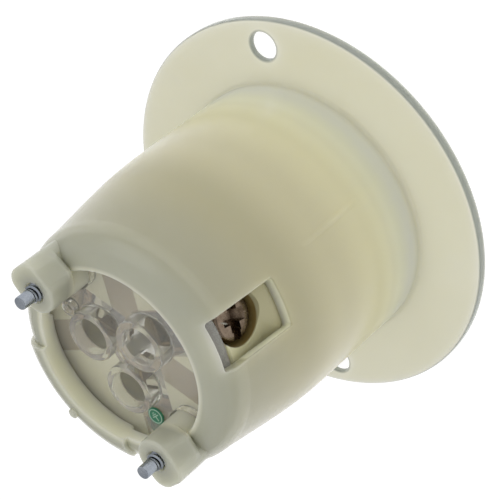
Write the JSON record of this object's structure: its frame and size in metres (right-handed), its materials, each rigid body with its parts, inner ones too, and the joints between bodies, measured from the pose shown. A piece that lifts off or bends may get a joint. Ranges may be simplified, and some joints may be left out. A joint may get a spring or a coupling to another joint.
{
  "type": "flanged electrical outlet",
  "caption": "Panel-mount electrical outlet: round flange, tapered nylon barrel, clear wire guide on the rear and screw clamps reached through side windows.",
  "frame": {"origin": "centre of the flange's front face", "axes": "+Z along the barrel towards the wiring end; X through the two flange mounting holes"},
  "size_m": [0.0826, 0.0826, 0.0703],
  "materials": {
    "natural_nylon": "glossy translucent nylon",
    "inner_nylon": "satin nylon",
    "clear_polycarbonate": "clear",
    "zinc_steel": "zinc plated",
    "brass": "machined",
    "nickel": "nickel plated",
    "green_steel": "green",
    "contact_bronze": "stamped bronze",
    "spring_steel": "satin",
    "mark_green": "printed"
  },
  "bodies": {
    "housing": {"flange_housing": "natural_nylon", "terminal_retainer": "clear_polycarbonate", "contact_carrier": "inner_nylon", "receptacle_face": "inner_nylon", "assembly_screw_upper": "zinc_steel", "assembly_screw_lower": "zinc_steel", "ground_mark": "mark_green", "clamp_body_line": "brass", "contact_line": "contact_bronze", "backup_spring_line": "spring_steel", "clamp_body_neutral": "brass", "contact_neutral": "contact_bronze", "backup_spring_neutral": "spring_steel", "clamp_body_ground": "brass", "contact_ground": "contact_bronze", "backup_spring_ground": "spring_steel"},
    "plate_line": {"pressure_plate_line": "spring_steel"},
    "screw_line": {"terminal_screw_line": "brass"},
    "plate_neutral": {"pressure_plate_neutral": "spring_steel"},
    "screw_neutral": {"terminal_screw_neutral": "nickel"},
    "plate_ground": {"pressure_plate_ground": "spring_steel"},
    "screw_ground": {"terminal_screw_ground": "green_steel"}
  },
  "joints": [
    {"name": "line_clamp_slide", "type": "slide", "parent": "housing", "child": "plate_line", "axis": [-0.1822, 0.9833, 0], "range_m": [0, 0.0022]},
    {"name": "line_screw_turn", "type": "hinge", "parent": "plate_line", "child": "screw_line", "pos_m": [0.00345, -0.00598, 0.0494], "axis": [-0.1822, 0.9833, 0], "range_deg": [0, 998]},
    {"name": "neutral_clamp_slide", "type": "slide", "parent": "housing", "child": "plate_neutral", "axis": [-0.5, -0.866, 0], "range_m": [0, 0.0022]},
    {"name": "neutral_screw_turn", "type": "hinge", "parent": "plate_neutral", "child": "screw_neutral", "pos_m": [0.00345, 0.00598, 0.0494], "axis": [-0.5, -0.866, 0], "range_deg": [0, 998]},
    {"name": "ground_clamp_slide", "type": "slide", "parent": "housing", "child": "plate_ground", "axis": [1, 0, 0], "range_m": [0, 0.0022]},
    {"name": "ground_screw_turn", "type": "hinge", "parent": "plate_ground", "child": "screw_ground", "pos_m": [-0.0069, 0, 0.0494], "axis": [1, 0, 0], "range_deg": [0, 998]}
  ],
  "couplings": [
    {"joint": "line_screw_turn", "follows": "line_clamp_slide", "rad_per_m": 7915.8},
    {"joint": "neutral_screw_turn", "follows": "neutral_clamp_slide", "rad_per_m": 7915.8},
    {"joint": "ground_screw_turn", "follows": "ground_clamp_slide", "rad_per_m": 7915.8}
  ]
}
